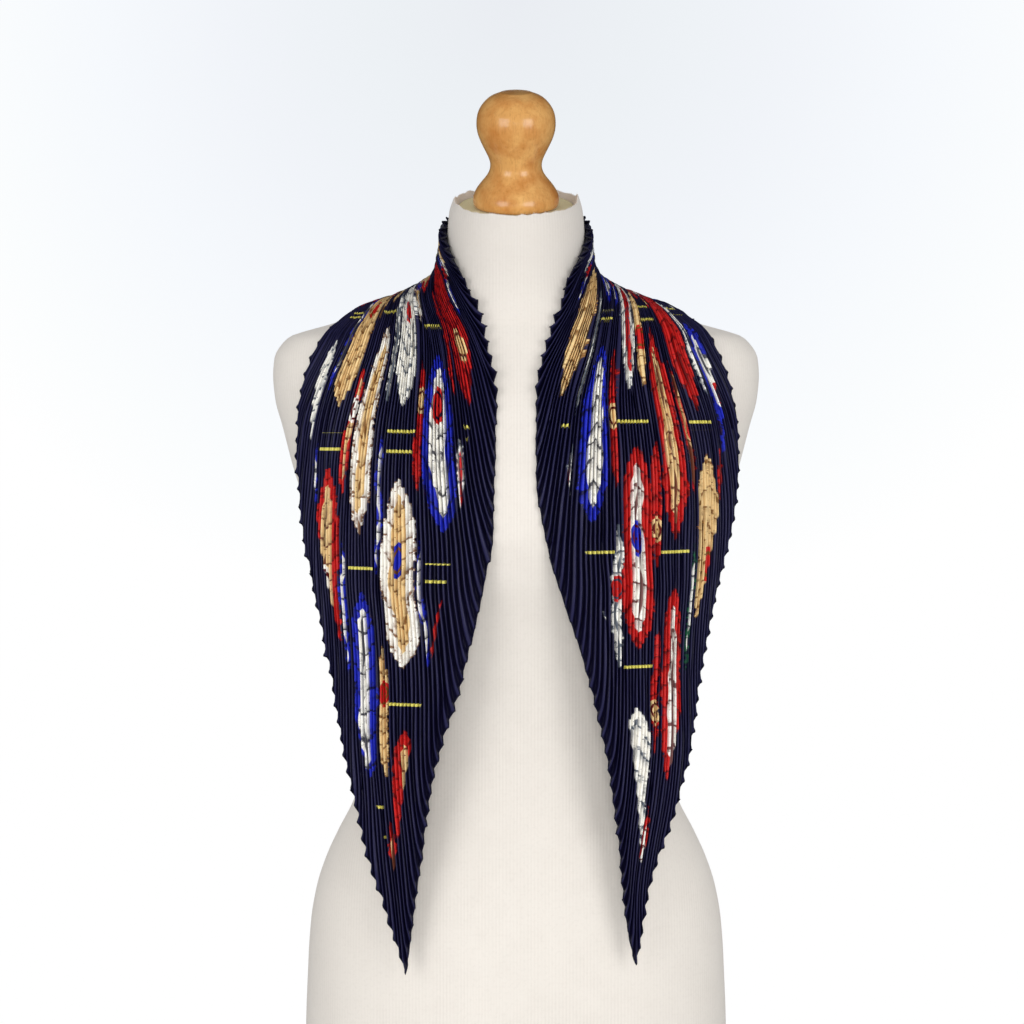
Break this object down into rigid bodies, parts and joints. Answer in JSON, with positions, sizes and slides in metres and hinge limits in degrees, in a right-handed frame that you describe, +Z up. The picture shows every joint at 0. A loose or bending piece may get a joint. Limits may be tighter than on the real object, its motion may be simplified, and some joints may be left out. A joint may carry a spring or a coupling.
{
  "type": "pleated silk scarf on a dress form",
  "caption": "Square silk scarf pleated on the diagonal, worn round the neck of a limbless dress form, its two pointed ends hanging down the front.",
  "frame": {"origin": "middle of the flat underside of the dress form, where it rests", "axes": "+Z up, the form faces -Y, +X towards the right of a viewer who looks at its front"},
  "size_m": [0.3438, 0.2119, 0.7233],
  "materials": {
    "silk": null,
    "jersey": "cream knitted cover, matt",
    "board": "plain light khaki cloth over the neck board, matt",
    "wood": "clear gloss varnish on honey-coloured turned wood"
  },
  "bodies": {
    "root": {"scarf_left_end": "silk", "scarf_neck": "silk", "scarf_right_end": "silk", "form_torso": "jersey", "form_neck_board": "board", "form_neck_knob": "wood"}
  },
  "joints": []
}
